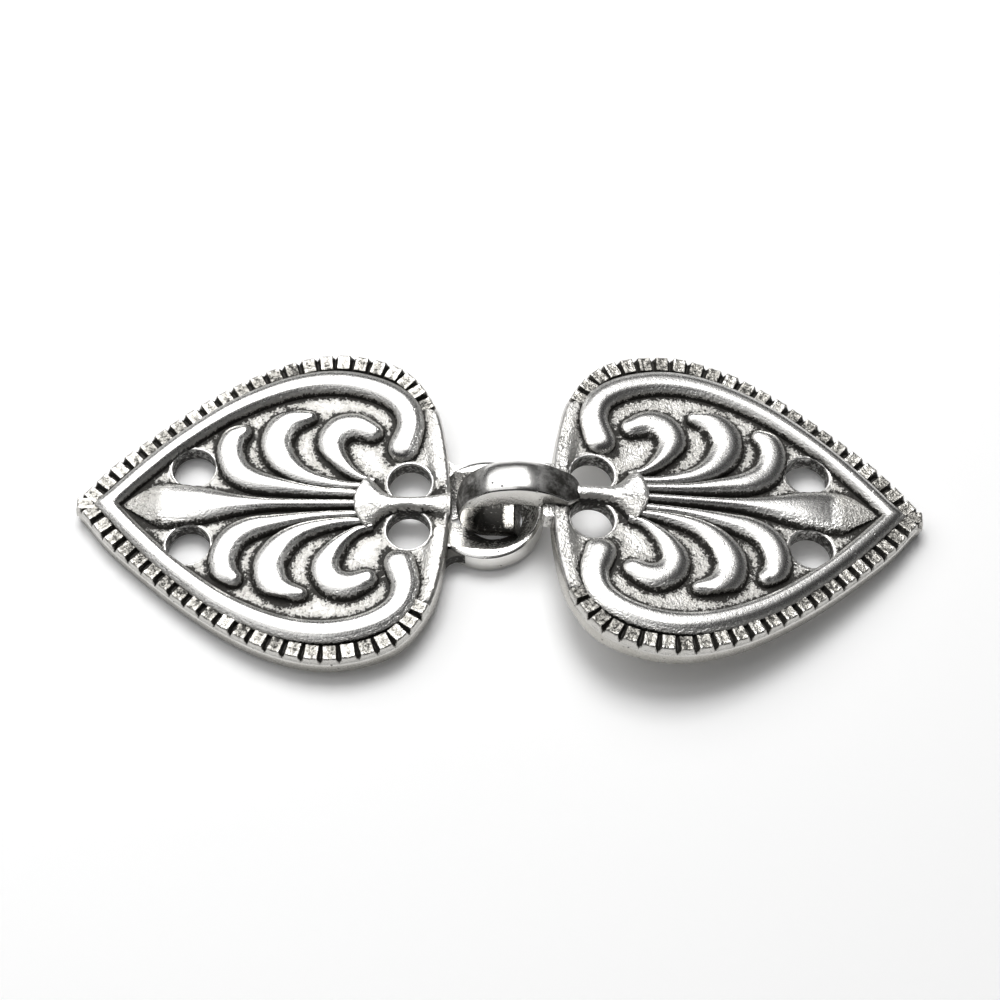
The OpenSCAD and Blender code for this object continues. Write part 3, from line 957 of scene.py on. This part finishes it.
def antique_silver(name, grain, pits, oxide, shine):
    """Silver plating with dark oxide left in its hollows. The mesh says where it was polished,
    where it is dark and where it is grey; on walls, the strap's bends and the near eye root
    that dark and grey is painted shade."""
    material, s = new_material(name)
    where = s.add("ShaderNodeTexCoord", {}, {}, "Object")
    mm = s.add("ShaderNodeVectorMath", {"operation": "SCALE"}, {0: where, "Scale": 1000.0})
    # These attributes hold oxide and grey, and painted shade where a piece sets it.
    soot_and_painted_shade, greying_and_painted_shade = s.attribute("soot_and_painted_shade"), s.attribute("greying_and_painted_shade")
    rough_zone = 1 - s.attribute("polish")
    cavity = 1 - s.add("ShaderNodeAmbientOcclusion", {"samples": 8},
                       {"Distance": CAVITY_REACH}, "AO")
    clouds = s.noise(mm, 0.9, 3.0)
    grains = s.noise(mm, 3.2, 3.0, 0.6)
    fine = s.noise(mm, 6.5, 2.0, 0.6)
    pit = s.add("ShaderNodeTexVoronoi", {}, {"Vector": mm, "Scale": 1.6}, "Distance")
    pit = pit.ramp(0.16, 0.06) * s.noise(mm, 0.7, 0.0).ramp(0.5, 0.56)
    speckle = ((grains - 0.5) * (0.3 + rough_zone * 1.9) + (fine - 0.5) * (rough_zone * 1.8)
               + (clouds - 0.5) * 0.4)
    dark = (cavity * oxide + soot_and_painted_shade + speckle).ramp(0.25, 0.7).larger(pit * pits)
    dull = (greying_and_painted_shade + rough_zone * 0.75 + (clouds - 0.5) * 0.5
            + (grains - 0.5) * 0.9 * rough_zone).clamp()
    height = (grains * 0.55 + fine * 0.45) * (rough_zone * grain + 0.05) - pit * (pits * 0.6)
    metal = s.add("ShaderNodeBsdfPrincipled", {}, {
        "Base Color": s.mix(dark, s.mix(dull, SILVER, DULL), OXIDE_AND_SHADE),
        "Metallic": (1 - dark * 0.4 - rough_zone * 0.35).clamp(),
        "Roughness": (shine + rough_zone * 0.06 + dark * 0.25 + (fine - 0.5) * 0.08).clamp(),
        "Normal": s.add("ShaderNodeBump", {}, {"Strength": 1.0, "Distance": GRAIN_HEIGHT,
                                               "Height": height})})
    s.add("ShaderNodeOutputMaterial", {}, {"Surface": metal})
    return material


def white_paper(name):
    """The studio's floor, which glows a little."""
    material, s = new_material(name)
    white = (0.97, 0.97, 0.97, 1)
    paper = s.add("ShaderNodeBsdfPrincipled", {}, {
        "Base Color": white, "Roughness": 0.6, "Emission Color": white,
        "Emission Strength": 0.08})
    s.add("ShaderNodeOutputMaterial", {}, {"Surface": paper})
    return material


# The clip

relief = antique_silver("relief_silver", grain=3.2, pits=0.3, oxide=0.85, shine=0.27)
ground = antique_silver("plate_silver", grain=2.6, pits=0.6, oxide=0.95, shine=0.28)
bright = antique_silver("strap_silver", grain=2.2, pits=0.8, oxide=0.7, shine=0.24)
ridge, pads = ridge_tree(), pads_tree()
points, faces, wear_and_painted_shade = plate()
reliefs = {"scroll_rib": scroll_rib(ridge, relief), "petals": petals(), "calyx": calyx()}
for half, seed in (("eye", 3), ("hook", 8)):
    add_piece(half + "_plate", half, points, faces, ground, wear_and_painted_shade)
    pad_points, pad_faces, pad_wear = rim_pads(pads, relief, seed)
    add_piece(half + "_rim_pads", half, pad_points, pad_faces, relief, pad_wear)
    for title, (spots, skins, rise) in reliefs.items():
        add_piece(half + "_" + title, half, spots, skins, relief,
                  relief_wear_and_shade(title, spots, rise), sharp=50)
points, faces, wear_and_painted_shade = eye_ring()
add_piece("eye_ring", "eye", points, faces, bright, wear_and_painted_shade)
# The near root is darker than the far one: painted shade, for the dark that it mirrors.
for side, soot_and_painted_shade, (points, faces) in zip(("far", "near"), (0.15, 0.7), eye_roots()):
    add_piece("eye_root_" + side, "eye", points, faces, bright, (0.7, soot_and_painted_shade, 0))
points, faces, wear_and_painted_shade = hook_strap()
add_piece("hook_strap", "hook", points, faces, bright, wear_and_painted_shade, sharp=40)
points, faces = hook_neck()
add_piece("hook_neck", "hook", points, faces, bright, (0.6, 0.2, 0))
for thing in HELPERS:
    bpy.data.objects.remove(thing)


# Floor, light and camera

FLOOR_HALF = 2.0
FLOOR_Z = -0.00002
floor_mesh = bpy.data.meshes.new("floor")
floor_mesh.from_pydata([(x * FLOOR_HALF, y * FLOOR_HALF, FLOOR_Z)
                        for x, y in ((-1, -1), (1, -1), (1, 1), (-1, 1))], [], [(0, 1, 2, 3)])
floor_mesh.materials.append(white_paper("white_floor"))
floor = new_object("floor", floor_mesh)


def softbox(name, at, width, depth, radiance):
    """A rectangular lamp that looks straight down."""
    lamp = bpy.data.lights.new(name, "AREA")
    lamp.shape = "RECTANGLE"
    lamp.size, lamp.size_y = width, depth
    lamp.energy = radiance * math.pi * width * depth
    new_object(name, lamp).location = at


softbox("overhead_softbox", (-0.27, 0.3, 0.45), 0.8, 0.66, 1.5)
softbox("hot_centre", (-0.03, 0.22, 0.44), 0.24, 0.24, 8.0)
softbox("front_left_softbox", (-0.29, -0.14, 0.45), 0.5, 0.22, 0.9)

# Pale walls up to a little above the floor's level and a dark room above them.
world = bpy.data.worlds.new("studio")
world.use_nodes = True
s = Sheet(world.node_tree)
way = s.add("ShaderNodeTexCoord", {}, {}, "Generated")
up = s.add("ShaderNodeSeparateXYZ", {}, {"Vector": way}, "Z")
shade = s.mix(up.ramp(0.0, 0.12), (0.9, 0.9, 0.9, 1), (0.02, 0.02, 0.02, 1))
back = s.add("ShaderNodeBackground", {}, {"Color": shade, "Strength": 1.0})
s.add("ShaderNodeOutputWorld", {}, {"Surface": back})
bpy.context.scene.world = world
bpy.context.scene.view_settings.view_transform = "Standard"

TARGET = Vector((0.02, 1.984, 0)) * MM
ELEVATION = math.radians(60)
ROLL = math.radians(0.94)
DISTANCE = 213.7 * MM
camera_data = bpy.data.cameras.new("camera")
camera_data.lens = 100
camera_data.sensor_width = 36
camera_data.clip_start = 0.01
camera = new_object("camera", camera_data)
camera.location = TARGET + Vector((0, -math.cos(ELEVATION), math.sin(ELEVATION))) * DISTANCE
look = (TARGET - camera.location).to_track_quat("-Z", "Y")
camera.rotation_euler = (look.to_matrix() @ Matrix.Rotation(ROLL, 3, "Z")).to_euler()
bpy.context.scene.camera = camera
